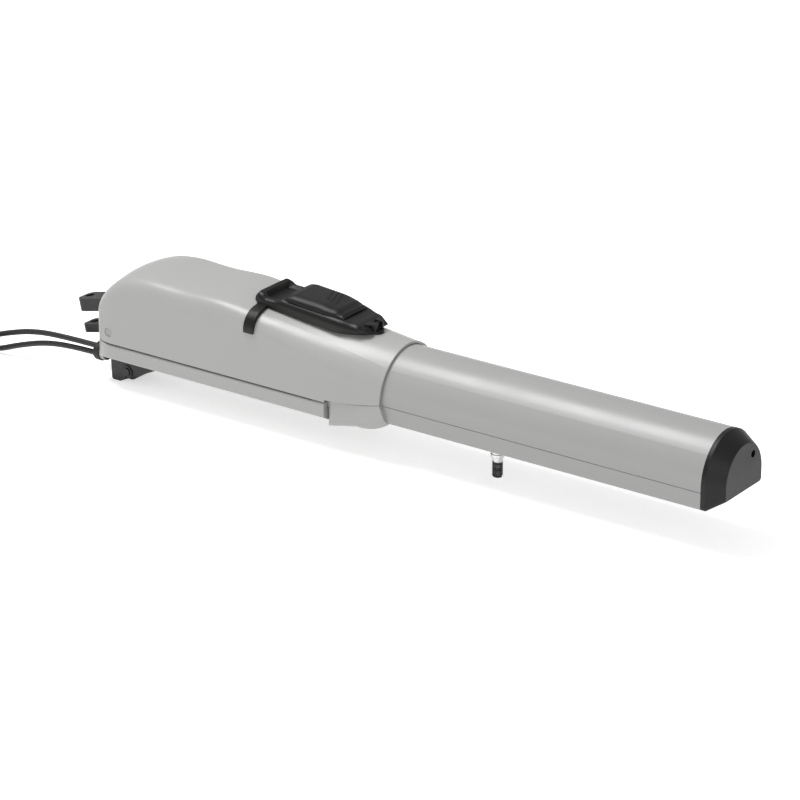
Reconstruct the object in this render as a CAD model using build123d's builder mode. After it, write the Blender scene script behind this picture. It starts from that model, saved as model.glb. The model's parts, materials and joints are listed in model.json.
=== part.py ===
from build123d import *
from math import acos, atan2, cos, degrees, hypot, pi, radians, sin, sqrt, tan
import os

# Swing gate operator: a motor and screw in a long arm, held by a cast fork at its tail.
# Millimetres. +X runs along the arm from tail to end cap, +Z is up, and the near side is -Y.
# The origin is the middle of the tail fork's bore, which takes the pillar's bracket.

# Casing datum: rear face of the casing, and the lower rim of its sides
casing_x = 37.0
casing_z = -24.0

# Casing
casing_width = 108.0
casing_corner = 30.0
cover_wall = 2.8
cover_length = 406.0
cover_top = 106.0
rim_height = 17.0
base_length = 330.0
base_wall = 4.0
base_belly = 14.0
belly_width = 54.0
gasket_thick = 1.2
gasket_width = 2.2
gasket_front_gap = 17.0
casing_screw = 5.0

# Arm extrusion
arm_width = 94.0
arm_bottom = 9.0
arm_side = 26.0
arm_shoulder = 50.0
arm_shoulder_angle = 40.0
arm_wall = 3.0
arm_start = 268.0
arm_end = 800.0
slot_width = 16.0
rail_gap = 44.0
rail_height = 16.0
rail_thick = 3.0
groove_height = 20.0
groove_size = 0.8
arm_fit = 0.5

# End cap
cap_thick = 23.0
cap_straight = 5.0
cap_inset = 11.0
cap_plug = 12.0
cap_wall = 3.5
cap_screw = 4.8
cap_screw_low = (-29.0, 15.5)
cap_screw_high = (17.0, 56.0)
cap_screw_recess = 8.0

# Front clamp
clamp_gap = 0.6
clamp_length = 72.0
clamp_toe = 8.0

# Drive line
screw_height = 30.0
screw_diameter = 16.0
screw_end = 778.0
journal_diameter = 12.0
motor_diameter = 66.0
motor_start = 84.0
motor_end = 196.3
can_wall = 2.5
shaft_diameter = 8.0
core_diameter = 44.0
core_length = 60.0
frame_start = 196.6
frame_plate = 8.0
gear_module = 0.9
pinion_teeth = 14
gear_teeth = 56
gear_start = 224.0
gear_width = 13.0
tooth_backlash = 0.12
collar_length = 13.0
collar_diameter = 34.0
collar_groove = 4.0
bearing_width = 9.0
bearing_diameter = 32.0
rotor_bearing_diameter = 22.0
rotor_bearing_width = 7.0
running_fit = 0.05
loose_fit = 0.3

# Carriage
carriage_x = 521.0
carriage_length = 52.0
carriage_width = 40.0
carriage_height = 30.0
carriage_back = 60.0
carriage_ahead = 204.0
nut_diameter = 30.0
nut_length = 44.0
stud_diameter = 12.0
stud_stem = 14.0
stud_flange = 15.6
stud_flange_top = 21.0
stud_flange_thick = 4.0
stud_length = 49.0
stop_length = 14.0

# Tail fork and its yoke
droop = 12.5
fork_width = 28.0
fork_bore = 11.0
upper_ear = 15.0
ear_gap = 15.6
lower_ear = 9.5
ear_tip = 10.5
ear_reach = 30.0
web_thick = 10.0
pin_x = 27.0
pin_z = -28.0
pin_diameter = 10.0
pin_eye = 11.5
cheek_thick = 6.5
cheek_back = 4.0
cheek_depth = 28.0
cheek_length = 72.0
yoke_plate = 4.0
yoke_screw = 6.0
yoke_screw_x = 54.0
recess_depth = 22.0
recess_top = 58.0

# Manual release
hatch_x = 216.0
hatch_length = 155.0
hatch_sink = 0.2
hatch_width = 54.0
frame_height = 3.0
band_width = 13.0
band_thick = 2.0
band_low = 76.0
key_cover_length = 34.0
key_cover_width = 26.0
key_cover_thick = 3.0
lock_diameter = 16.0
lock_length = 12.0
lever_pin_diameter = 5.0

# Leads and gland
lead_diameter = 6.6
gland_diameter = 22.0
gland_y = -29.0
gland_z = -6.0
gland_length = 9.0
gland_thread = 16.0

clamp_start = base_length + clamp_gap
clamp_end = clamp_start + clamp_length
rim_low_x = clamp_end - 1
half_casing = casing_width / 2
half_arm = arm_width / 2
os.makedirs("parts", exist_ok=True)


def across(x):
    """Plane across the arm at a distance from the casing's rear face; its axes are Y and Z."""
    return Plane(origin=(casing_x + x, 0, casing_z), x_dir=(0, 1, 0), z_dir=(1, 0, 0))


def along(y=0.0):
    """Plane along the arm at a given Y; its axes are X and Z, and it looks at the near side."""
    return Plane(origin=(casing_x, y, casing_z), x_dir=(1, 0, 0), z_dir=(0, -1, 0))


def level(z):
    """Level plane at a height above the casing's lower rim."""
    return Plane(origin=(casing_x, 0, casing_z + z), x_dir=(1, 0, 0), z_dir=(0, 0, 1))


def keep(builder, name):
    """Label a finished sub-part and write it."""
    builder.part.label = name
    export_step(builder.part, f"parts/{name}.step")


# Rounded section of arm and casing: upright sides, a shoulder arc and a crown arc tangent to it
def loaf(plane, half, floor, side, shoulder, angle, corner=0.0):
    turn = radians(angle)
    shoulder_y = half - shoulder * (1 - cos(turn))
    shoulder_z = side + shoulder * sin(turn)
    crown = shoulder_y / cos(turn)
    top = shoulder_z + crown * (1 - sin(turn))
    middle = turn / 2
    middle_y = half - shoulder * (1 - cos(middle))
    middle_z = side + shoulder * sin(middle)
    with BuildSketch(plane) as outline:
        with BuildLine():
            Line((-half, floor), (half, floor))
            Line((half, floor), (half, side))
            ThreePointArc((half, side), (middle_y, middle_z), (shoulder_y, shoulder_z))
            ThreePointArc((shoulder_y, shoulder_z), (0, top), (-shoulder_y, shoulder_z))
            ThreePointArc((-shoulder_y, shoulder_z), (-middle_y, middle_z), (-half, side))
            Line((-half, side), (-half, floor))
        make_face()
        if corner:
            fillet(outline.vertices().group_by(Axis.Z)[0], corner)
    return outline.sketch


def arm_section(x, grow=0.0, floor=None, corner=4.0):
    """Outline of the arm at x, grown or shrunk all round by one amount."""
    bottom = arm_bottom - grow if floor is None else floor
    side = arm_bottom + arm_side
    return loaf(across(x), half_arm + grow, bottom, side, arm_shoulder + grow, arm_shoulder_angle, corner)


arm_top_turn = radians(arm_shoulder_angle)
arm_shoulder_y = half_arm - arm_shoulder * (1 - cos(arm_top_turn))
arm_crown = arm_shoulder_y / cos(arm_top_turn)
arm_top = arm_bottom + arm_side + arm_shoulder * sin(arm_top_turn) + arm_crown * (1 - sin(arm_top_turn))
arm_inner_floor = arm_bottom + arm_wall

# Arm extrusion: closed loaf with a slot underneath, and two rails inside that guide the carriage
with BuildPart() as arm_profile:
    extrude(arm_section(arm_start), amount=arm_end - arm_start)
    extrude(arm_section(arm_start, -arm_wall, corner=1.0), amount=arm_end - arm_start, mode=Mode.SUBTRACT)
    with BuildSketch(across(arm_start)):
        with Locations((0, arm_bottom + arm_wall / 2)):
            Rectangle(slot_width, arm_wall * 2)
    extrude(amount=arm_end - arm_start, mode=Mode.SUBTRACT)
    with BuildSketch(across(arm_start)):
        rail_y = (rail_gap + rail_thick) / 2
        with Locations((-rail_y, arm_inner_floor + rail_height / 2), (rail_y, arm_inner_floor + rail_height / 2)):
            Rectangle(rail_thick, rail_height + 1)
    extrude(amount=arm_end - arm_start)
    with BuildSketch(across(arm_start)):
        for side_y in (-half_arm, half_arm):
            with Locations((side_y, arm_bottom + groove_height)):
                Rectangle(groove_size * 2, groove_size)
    extrude(amount=arm_end - arm_start, mode=Mode.SUBTRACT)
    port_start = arm_end - 2 * cap_plug
    with BuildSketch(across(port_start)):
        with Locations(cap_screw_low, cap_screw_high):
            Circle(cap_screw)
    with BuildSketch(across(port_start)) as port_ties:
        low_y, low_z = cap_screw_low
        high_y, high_z = cap_screw_high
        with Locations((low_y, (arm_bottom + 1 + low_z) / 2)):
            Rectangle(4, low_z - arm_bottom - 1)
        with Locations((high_y, (high_z + arm_top - 2 * arm_wall) / 2)):
            Rectangle(4, arm_top - 2 * arm_wall - high_z + 2)
    extrude(amount=2 * cap_plug)
    with BuildSketch(across(port_start)):
        with Locations(cap_screw_low, cap_screw_high):
            Circle(cap_screw / 2 - 0.3)
    extrude(amount=2 * cap_plug, mode=Mode.SUBTRACT)
keep(arm_profile, "arm_profile")

# Plan of the casing with its rounded rear corners; "inset" draws it in from the outside
def casing_plan(plane, inset, length):
    half = half_casing - inset
    radius = casing_corner - inset
    with BuildSketch(plane) as outline:
        with BuildLine():
            Line((length, -half), (inset + radius, -half))
            RadiusArc((inset + radius, -half), (inset, -half + radius), radius)
            Line((inset, -half + radius), (inset, half - radius))
            RadiusArc((inset, half - radius), (inset + radius, half), radius)
            Line((inset + radius, half), (length, half))
            Line((length, half), (length, -half))
        make_face()
    return outline.sketch


recess_half = fork_width / 2 + 2.5
recess_wall = 4.0
belly_half = belly_width / 2
side_screw_x = 29.0
side_screw_z = 31.0
side_head_seat = 51.4
side_lug_top = side_screw_z + 8

# Base tray: upright rim, bevelled belly, recess for the fork's web, and lugs for the cover's screws
with BuildPart() as base_hollow:
    extrude(casing_plan(level(-base_belly + base_wall), base_wall, base_length - base_wall), amount=60)
    with BuildSketch(across(0)):
        with BuildLine():
            inner = half_casing - base_wall
            Polyline((-inner, rim_height + 20), (inner, rim_height + 20), (inner, base_wall / 2),
                     (belly_half - 1, base_wall - base_belly), (1 - belly_half, base_wall - base_belly),
                     (-inner, base_wall / 2), close=True)
        make_face()
    extrude(amount=base_length, mode=Mode.INTERSECT)
with BuildPart() as base_housing:
    with BuildSketch(across(0)) as rim_section:
        with BuildLine():
            Polyline((-half_casing, rim_height), (half_casing, rim_height), (half_casing, 0),
                     (belly_half, -base_belly), (-belly_half, -base_belly), (-half_casing, 0), close=True)
        make_face()
        fillet(rim_section.vertices().sort_by(Axis.Z)[:4], 4)
    extrude(amount=base_length)
    extrude(casing_plan(level(-base_belly), 0, base_length), amount=60, mode=Mode.INTERSECT)
    add(base_hollow.part, mode=Mode.SUBTRACT)
    with BuildSketch(level(-base_belly)):
        with Locations(((recess_depth + recess_wall) / 2, 0)):
            Rectangle(recess_depth + recess_wall, 2 * (recess_half + recess_wall))
    extrude(amount=rim_height + base_belly)
    with BuildSketch(level(-base_belly)):
        with Locations((recess_depth / 2 - 1, 0)):
            Rectangle(recess_depth + 2, 2 * recess_half)
    extrude(amount=rim_height + base_belly, mode=Mode.SUBTRACT)
    with BuildSketch(across(1.5)):
        with Locations((gland_y, gland_z)):
            Circle(gland_thread / 2 + 1.4)
    extrude(amount=5.5)
    with BuildSketch(across(-1)):
        with Locations((gland_y, gland_z)):
            Circle(gland_thread / 2)
    extrude(amount=12, mode=Mode.SUBTRACT)
    with BuildSketch(across(1.5)):
        with Locations((gland_y, gland_z)):
            Circle(gland_diameter / 2 + 0.1)
    extrude(amount=-3, mode=Mode.SUBTRACT)
    lug_y = half_casing - base_wall - 5.6
    with BuildSketch(level(rim_height - 12)):
        with Locations((side_screw_x, lug_y), (side_screw_x, -lug_y)):
            Rectangle(14, 6)
    extrude(amount=side_lug_top - rim_height + 12)
    with BuildSketch(along(half_casing)):
        with Locations((side_screw_x, side_screw_z)):
            Circle(casing_screw / 2)
    extrude(amount=casing_width, mode=Mode.SUBTRACT)
    extrude(arm_section(arm_start - 0.3, arm_fit), amount=base_length - arm_start + 1, mode=Mode.SUBTRACT)
    yoke_holes = [(yoke_screw_x, -9), (yoke_screw_x, 9)]
    with BuildSketch(level(-base_belly)):
        with Locations(*yoke_holes):
            Circle(yoke_screw / 2)
    extrude(amount=base_wall + 1, mode=Mode.SUBTRACT)
keep(base_housing, "base_housing")

# Seal between tray and cover, open at the front where the two shells meet directly
with BuildPart() as cover_gasket:
    seal_inset = 0.6
    extrude(casing_plan(level(rim_height), seal_inset, base_length - gasket_front_gap), amount=gasket_thick)
    extrude(casing_plan(level(rim_height), seal_inset + gasket_width, base_length), amount=gasket_thick,
            mode=Mode.SUBTRACT)
    for grow, back, mode in ((seal_inset + gasket_width, seal_inset, Mode.ADD), (seal_inset, -1, Mode.SUBTRACT)):
        with BuildSketch(level(rim_height)):
            with Locations(((recess_depth + grow + back) / 2, 0)):
                Rectangle(recess_depth + grow - back, 2 * (recess_half + grow))
        extrude(amount=gasket_thick, mode=mode)
keep(cover_gasket, "cover_gasket")

# Upper cover: a moulded shell, full and flat over the motor, rounded down at the tail and drawn in
# to the arm at its front. Each station is (distance, height of the crown).
cover_floor = rim_height + gasket_thick
front_half = half_arm + cover_wall + arm_fit
front_top = arm_top + cover_wall + arm_fit
cover_stations = [(0, 44.0), (2, 52.5), (7, 64.0), (16, 77.5), (30, 91.5), (48, 102.0), (70, cover_top - 0.2),
                  (110, cover_top), (150, cover_top - 0.2)]
hood_start, hood_steps = 195.0, 8
taper_start = 318.0
for step in range(hood_steps + 1):
    share = step / hood_steps
    cover_stations.append((hood_start + (cover_length - hood_start) * share,
                           cover_top - 0.8 + (front_top - cover_top + 0.8) * share))


def cover_half(x):
    """Half width of the casing at x: round rear corners, then a taper in to the arm's front rim."""
    if x < casing_corner:
        return half_casing - casing_corner + sqrt(casing_corner ** 2 - (casing_corner - x) ** 2)
    taper = max(0.0, (x - taper_start) / (cover_length - taper_start))
    return half_casing - (half_casing - front_half) * taper ** 1.5


def cover_section(x, top, inset=0.0, floor=cover_floor):
    """One station of the cover: square shoulders at the tail that soften towards the arm."""
    half = cover_half(x) - inset
    blend = min(1.0, max(0.0, (x - hood_start) / (cover_length - hood_start)))
    tail = min(1.0, x / 60)
    shoulder = (10 + 5 * tail) * (1 - blend) + (arm_shoulder + cover_wall) * blend - inset
    angle = (80 - 12 * (1 - tail)) * (1 - blend) + arm_shoulder_angle * blend
    turn = radians(angle)
    crown = (half - shoulder * (1 - cos(turn))) / cos(turn)
    side = top - inset - shoulder * sin(turn) - crown * (1 - sin(turn))
    return loaf(across(x), half, floor, side, shoulder, angle)


with BuildPart() as cover_outside:
    loft([cover_section(x, top) for x, top in cover_stations])
with BuildPart() as cover_inside:
    inner_stations = [(x, top) for x, top in cover_stations if x >= 2]
    loft([cover_section(x, top, cover_wall, cover_floor - 5) for x, top in inner_stations])
    with BuildSketch(level(cover_floor - 6)):
        with Locations(((recess_depth + recess_wall) / 2 - 5, 0)):
            Rectangle(recess_depth + recess_wall + 10, 2 * (recess_half + recess_wall))
    extrude(amount=recess_top + recess_wall - cover_floor + 6, mode=Mode.SUBTRACT)


hood_fall = (cover_top - 0.8 - front_top) / (cover_length - hood_start)
hatch_slope = degrees(atan2(hood_fall, 1))
hatch_z = cover_top - 0.8 - hood_fall * (hatch_x - hood_start) - hatch_sink


def on_hatch(n=0.0, y=0.0):
    """Plane along the top of the cover at a height n over it; its axes run forward and to the far side."""
    tilt = radians(hatch_slope)
    normal = (sin(tilt), 0, cos(tilt))
    origin = (casing_x + hatch_x + n * normal[0], y, casing_z + hatch_z + n * normal[2])
    return Plane(origin=origin, x_dir=(cos(tilt), 0, -sin(tilt)), z_dir=normal)


def beside_hatch(y=0.0):
    """Upright plane along the hatch; its axes run forward and up from the cover, and it looks at the near side."""
    tilt = radians(hatch_slope)
    origin = (casing_x + hatch_x, y, casing_z + hatch_z)
    return Plane(origin=origin, x_dir=(cos(tilt), 0, -sin(tilt)), z_dir=(0, -1, 0))


pivot_h = hatch_length - 10
pivot_n = 7.5
opening_back = 10.0
opening_front = pivot_h - 8
opening_width = 34.0
lug_slot = 7.0
lug_slot_back = pivot_h - 13.5
lug_slot_front = pivot_h + 2.5

# Upper cover, finished: hollowed, trimmed over the clamp and at the slanted front rim, and opened for
# the arm, the fork's web, the release and the side screws
seam_height = 31.0
with BuildPart() as upper_cover:
    add(cover_outside.part)
    with BuildSketch(along(-half_casing - 5)) as front_trim:
        with BuildLine():
            Polyline((rim_low_x, 0), (rim_low_x, seam_height), (cover_length - 1, front_top + 2),
                     (cover_length + 20, front_top + 2), (cover_length + 20, 0), close=True)
        make_face()
    extrude(amount=-casing_width - 10, mode=Mode.SUBTRACT)
    with BuildSketch(along(-half_casing - 5)) as clamp_seam:
        with BuildLine():
            seam_back = (clamp_start - 0.3, rim_height + 4)
            Line((clamp_start - 0.3, 0), seam_back)
            ThreePointArc(seam_back, (clamp_start + 34, rim_height + 6.5), (rim_low_x + 2, seam_height))
            Line((rim_low_x + 2, seam_height), (rim_low_x + 2, 0))
            Line((rim_low_x + 2, 0), (clamp_start - 0.3, 0))
        make_face()
    extrude(amount=-casing_width - 10, mode=Mode.SUBTRACT)
    add(cover_inside.part, mode=Mode.SUBTRACT)
    extrude(arm_section(arm_start - 6, arm_fit, floor=cover_floor - 5), amount=cover_length - arm_start + 10,
            mode=Mode.SUBTRACT)
    with BuildSketch(on_hatch(-12)):
        with Locations(((opening_back + opening_front) / 2, 0)):
            RectangleRounded(opening_front - opening_back, opening_width, 8)
        with Locations(((lug_slot_back + lug_slot_front) / 2, 0)):
            Rectangle(lug_slot_front - lug_slot_back, lug_slot)
    extrude(amount=24, mode=Mode.SUBTRACT)
    with BuildSketch(along(half_casing + 1)):
        with Locations((side_screw_x, side_screw_z)):
            Circle(casing_screw / 2)
    extrude(amount=casing_width + 2, mode=Mode.SUBTRACT)
    for side in (-1, 1):
        with BuildSketch(along(side * side_head_seat)):
            with Locations((side_screw_x, side_screw_z)):
                Circle(casing_screw + 0.4)
        extrude(amount=-side * 6, mode=Mode.SUBTRACT)
    with BuildSketch(level(0)):
        with Locations((recess_depth / 2 - 5, 0)):
            Rectangle(recess_depth + 10, 2 * recess_half)
    extrude(amount=recess_top, mode=Mode.SUBTRACT)
keep(upper_cover, "upper_cover")

# Two screws through the cover's rear corners into the tray's lugs
with BuildPart() as cover_screws:
    for side in (-1, 1):
        start = along(side * side_head_seat)
        with BuildSketch(start) as shank:
            with Locations((side_screw_x, side_screw_z)):
                Circle(casing_screw / 2 - 0.05)
        extrude(amount=side * 9)
        with BuildSketch(start) as head:
            with Locations((side_screw_x, side_screw_z)):
                Circle(casing_screw)
        extrude(amount=-side * 1.4)
keep(cover_screws, "cover_screws")

# Front clamp: a saddle under the arm that carries on the casing's lower line, with a rounded front
with BuildPart() as front_clamp:
    with BuildSketch(along(0)):
        with BuildLine():
            rise = (clamp_start, rim_height + 3.4)
            Line((clamp_start, -base_belly + 2), rise)
            ThreePointArc(rise, (clamp_start + 34.3, rim_height + 5.8), (clamp_end - 1, seam_height - 0.9))
            Line((clamp_end - 1, seam_height - 0.9), (clamp_end + clamp_toe, arm_bottom))
            ThreePointArc((clamp_end + clamp_toe, arm_bottom), (clamp_end - 10, -1), (clamp_end - 34, -4))
            Line((clamp_end - 34, -4), (clamp_start, -base_belly + 2))
        make_face()
    extrude(amount=front_half + 1, both=True)
    side_edges = front_clamp.edges().filter_by(lambda e: e.center().Z < casing_z + arm_bottom and
                                               abs(abs(e.center().Y) - front_half - 1) < 0.01)
    fillet(side_edges, 9)
    extrude(arm_section(clamp_start - 1, 0.0), amount=clamp_length + 30, mode=Mode.SUBTRACT)
    with BuildSketch(across(clamp_start - 1)):
        with Locations((0, 0)):
            Rectangle(slot_width, 2 * arm_bottom + 4)
    clamp_points = [(clamp_start + 16, -32), (clamp_start + 16, 32), (clamp_end - 24, -32), (clamp_end - 24, 32)]
    extrude(amount=0.5, mode=Mode.SUBTRACT)
    with BuildSketch(level(-base_belly - 2)):
        with Locations(*clamp_points):
            Circle(3.2)
    extrude(amount=30, mode=Mode.SUBTRACT)
    with BuildSketch(level(-base_belly - 2)):
        with Locations(*clamp_points):
            Circle(5.6)
    extrude(amount=base_belly + 4, mode=Mode.SUBTRACT)
keep(front_clamp, "front_clamp")

with BuildPart() as clamp_screws:
    with BuildSketch(level(-2)):
        with Locations(*clamp_points):
            Circle(5)
    extrude(amount=4)
    with BuildSketch(level(2)):
        with Locations(*clamp_points):
            Circle(3)
    extrude(amount=arm_bottom - 2)
keep(clamp_screws, "clamp_screws")

# End cap: follows the arm's section, bevelled to a smaller face, with a hollow plug inside the arm
with BuildPart() as end_cap:
    extrude(arm_section(arm_end), amount=cap_straight)
    loft([arm_section(arm_end + cap_straight), arm_section(arm_end + cap_thick, -cap_inset)])
    fillet(end_cap.faces().sort_by(Axis.X)[-1].edges(), 2)
    extrude(arm_section(arm_end - cap_plug, -arm_wall - loose_fit, corner=1.0), amount=cap_plug)
    extrude(arm_section(arm_end - cap_plug, -arm_wall - cap_wall, corner=1.0),
            amount=cap_plug + cap_straight, mode=Mode.SUBTRACT)
    with BuildSketch(across(arm_end - cap_plug)):
        with Locations(cap_screw_low, cap_screw_high):
            Circle(cap_screw + 0.6)
        with Locations((0, arm_bottom + 2)):
            Rectangle(rail_gap + 2 * rail_thick + 2, 2 * rail_height + 8)
        with Locations((low_y, arm_bottom)):
            Rectangle(5, 2 * (low_z - arm_bottom))
        with Locations((high_y, arm_top)):
            Rectangle(5, 2 * (arm_top - high_z))
    extrude(amount=cap_plug, mode=Mode.SUBTRACT)
    with BuildSketch(across(arm_end)):
        with Locations(cap_screw_low, cap_screw_high):
            Circle(cap_screw_recess / 2 + 1.5)
    extrude(amount=cap_straight)
    with BuildSketch(across(arm_end)):
        with Locations(cap_screw_low, cap_screw_high):
            Circle(cap_screw / 2 + 0.2)
    extrude(amount=cap_thick, mode=Mode.SUBTRACT)
    with BuildSketch(across(arm_end + cap_straight)):
        with Locations(cap_screw_low, cap_screw_high):
            Circle(cap_screw_recess / 2)
    extrude(amount=cap_thick, mode=Mode.SUBTRACT)
keep(end_cap, "end_cap")

with BuildPart() as end_cap_screws:
    with BuildSketch(across(arm_end + cap_straight)):
        with Locations(cap_screw_low, cap_screw_high):
            Circle(cap_screw_recess / 2 - 0.4)
    extrude(amount=3.2)
    with BuildSketch(across(arm_end - cap_plug)):
        with Locations(cap_screw_low, cap_screw_high):
            Circle(cap_screw / 2 - 0.4)
    extrude(amount=cap_plug + cap_straight)
keep(end_cap_screws, "end_cap_screws")

# Cast frame: motor plate, thrust plate, two cheeks, and the spigot that the arm slides over
motor_height = screw_height + (pinion_teeth + gear_teeth) / 2 * gear_module
motor_axis = (0, motor_height)
screw_axis = (0, screw_height)
frame_end = arm_start - 0.3
thrust_start = 240.0
plate_half = 44.0
plate_top = 74.0
spigot_length = 24.0
frame_floor = base_wall - base_belly + loose_fit
with BuildPart() as gear_frame:
    for start, thick in ((frame_start, frame_plate), (thrust_start, bearing_width + 3)):
        with BuildSketch(across(start)) as plate:
            with Locations((0, (plate_top + 1) / 2)):
                Rectangle(2 * plate_half, plate_top - 1)
            fillet(plate.vertices().group_by(Axis.Z)[-1], 14)
        extrude(amount=thick)
    with BuildSketch(across(frame_start)):
        with Locations(motor_axis):
            Circle(rotor_bearing_diameter / 2 + 4)
    extrude(amount=frame_plate)
    with BuildSketch(level(frame_floor)):
        with Locations(((frame_start + frame_end) / 2, -18), ((frame_start + frame_end) / 2, 18)):
            Rectangle(frame_end - frame_start, 10)
    extrude(amount=1 - frame_floor)
    with BuildSketch(level(1)):
        for y in (-plate_half + 3, plate_half - 3):
            with Locations(((frame_start + frame_end) / 2, y)):
                Rectangle(frame_end - frame_start, 6)
    extrude(amount=44)
    extrude(arm_section(thrust_start + bearing_width + 3, -arm_wall - loose_fit, corner=1.0),
            amount=frame_end + spigot_length - thrust_start - bearing_width - 3)
    extrude(arm_section(thrust_start + bearing_width + 3, -arm_wall - 4, corner=1.0),
            amount=frame_end + spigot_length - thrust_start - bearing_width - 3, mode=Mode.SUBTRACT)
    with BuildSketch(across(thrust_start + bearing_width + 4)):
        with Locations((0, arm_bottom)):
            Rectangle(rail_gap + 2 * rail_thick + 2, 2 * rail_height + 8)
    extrude(amount=60, mode=Mode.SUBTRACT)
    with BuildSketch(across(thrust_start)):
        with Locations(screw_axis):
            Circle(bearing_diameter / 2)
    extrude(amount=bearing_width, mode=Mode.SUBTRACT)
    with BuildSketch(across(frame_start - 1)):
        with Locations(screw_axis):
            Circle(journal_diameter / 2 + 1)
    extrude(amount=80, mode=Mode.SUBTRACT)
    with BuildSketch(across(frame_start)):
        with Locations(motor_axis):
            Circle(rotor_bearing_diameter / 2)
        with Locations(screw_axis):
            Circle(rotor_bearing_diameter / 2 + 1)
    extrude(amount=rotor_bearing_width, mode=Mode.SUBTRACT)
    with BuildSketch(across(frame_start)):
        with Locations(motor_axis):
            Circle(shaft_diameter / 2 + 1)
    extrude(amount=frame_plate, mode=Mode.SUBTRACT)
keep(gear_frame, "gear_frame")


def ring(x, centre, outer, inner, length):
    """A plain ring or bush on an axis along the arm."""
    with BuildPart() as made:
        with BuildSketch(across(x)):
            with Locations(centre):
                Circle(outer / 2)
                Circle(inner / 2, mode=Mode.SUBTRACT)
        extrude(amount=length)
    return made


bell_length = 12.0
keep(ring(frame_start, motor_axis, rotor_bearing_diameter, shaft_diameter + 2 * running_fit, rotor_bearing_width),
     "rotor_bearing_front")
keep(ring(motor_start - rotor_bearing_width, motor_axis, rotor_bearing_diameter,
          shaft_diameter + 2 * running_fit, rotor_bearing_width), "rotor_bearing_rear")
keep(ring(frame_start, screw_axis, rotor_bearing_diameter + 2, journal_diameter + 2 * running_fit,
          rotor_bearing_width), "screw_bearing_rear")
keep(ring(thrust_start, screw_axis, bearing_diameter, journal_diameter + 2 * running_fit, bearing_width),
     "screw_thrust_bearing")

# Motor: can, wound stator and rear end bell
with BuildPart() as motor_can:
    with BuildSketch(across(motor_start)):
        with Locations(motor_axis):
            Circle(motor_diameter / 2)
            Circle(motor_diameter / 2 - can_wall, mode=Mode.SUBTRACT)
    extrude(amount=motor_end - motor_start)
    with BuildSketch(across(motor_end - can_wall)):
        with Locations(motor_axis):
            Circle(motor_diameter / 2)
            Circle(rotor_bearing_diameter / 2 + 2, mode=Mode.SUBTRACT)
    extrude(amount=can_wall)
keep(motor_can, "motor_can")
core_start = (motor_start + motor_end - core_length) / 2
keep(ring(core_start, motor_axis, motor_diameter - 2 * can_wall, core_diameter + 1.0, core_length), "motor_stator")
with BuildPart() as motor_end_bell:
    with BuildSketch(across(motor_start - bell_length)):
        with Locations(motor_axis):
            Circle(motor_diameter / 2)
    extrude(amount=bell_length)
    fillet(motor_end_bell.faces().sort_by(Axis.X)[0].edges(), 5)
    with BuildSketch(across(motor_start - rotor_bearing_width)):
        with Locations(motor_axis):
            Circle(rotor_bearing_diameter / 2)
    extrude(amount=rotor_bearing_width, mode=Mode.SUBTRACT)
keep(motor_end_bell, "motor_end_bell")

# Rotor: one shaft with its core, and the pinion pressed on the front
pinion_start = gear_start
with BuildPart() as rotor_shaft:
    with BuildSketch(across(motor_start - rotor_bearing_width + 0.5)):
        with Locations(motor_axis):
            Circle(shaft_diameter / 2)
    extrude(amount=pinion_start + gear_width - motor_start + rotor_bearing_width - 0.5)
    with BuildSketch(across(core_start)):
        with Locations(motor_axis):
            Circle(core_diameter / 2)
    extrude(amount=core_length)
keep(rotor_shaft, "rotor_shaft")


def gear_points(teeth, centre, turned):
    """Points of a stub-toothed involute gear; one tooth points along the angle "turned"."""
    pitch = gear_module * teeth / 2
    base = pitch * cos(radians(20))
    root, tip = pitch - 1.05 * gear_module, pitch + 0.8 * gear_module
    flank_start = max(base, root + 0.05)
    half_pitch = pi / (2 * teeth) - tooth_backlash / (2 * pitch)
    involute = tan(radians(20)) - radians(20)

    def half_angle(radius):
        lean = acos(min(1.0, base / radius))
        return half_pitch + involute - (tan(lean) - lean)

    radii = [flank_start + (tip - flank_start) * step / 3 for step in range(4)]
    flank = [(radius, half_angle(radius)) for radius in radii]
    profile = [(root, flank[0][1])] + flank
    points = []
    for tooth in range(teeth):
        middle = turned + 2 * pi * tooth / teeth
        for radius, spread in profile:
            points.append((radius, middle - spread))
        for radius, spread in reversed(profile):
            points.append((radius, middle + spread))
    return [(centre[0] + radius * cos(angle), centre[1] + radius * sin(angle)) for radius, angle in points]


# Pinion on the rotor over the large gear of the screw: the pinion's tooth points down into a space
with BuildPart() as drive_pinion:
    with BuildSketch(across(pinion_start)):
        with BuildLine():
            Polyline(*gear_points(pinion_teeth, motor_axis, -pi / 2), close=True)
        make_face()
        with Locations(motor_axis):
            Circle(shaft_diameter / 2, mode=Mode.SUBTRACT)
    extrude(amount=gear_width)
keep(drive_pinion, "drive_pinion")

dog_height = 4.0
dog_inner, dog_outer = 16.0, 28.0
with BuildPart() as drive_gear:
    with BuildSketch(across(gear_start)):
        with BuildLine():
            Polyline(*gear_points(gear_teeth, screw_axis, pi / 2 + pi / gear_teeth), close=True)
        make_face()
        with Locations(screw_axis):
            Circle(journal_diameter / 2, mode=Mode.SUBTRACT)
    extrude(amount=gear_width)
    with BuildSketch(across(gear_start - dog_height)):
        with Locations(screw_axis):
            Circle(dog_outer / 2)
            Circle(dog_inner / 2, mode=Mode.SUBTRACT)
        for turn in (0, 90):
            with Locations(Location((0, screw_height), turn + 45)):
                Rectangle(dog_outer + 2, 11, mode=Mode.SUBTRACT)
    extrude(amount=dog_height)
keep(drive_gear, "drive_gear")

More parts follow.
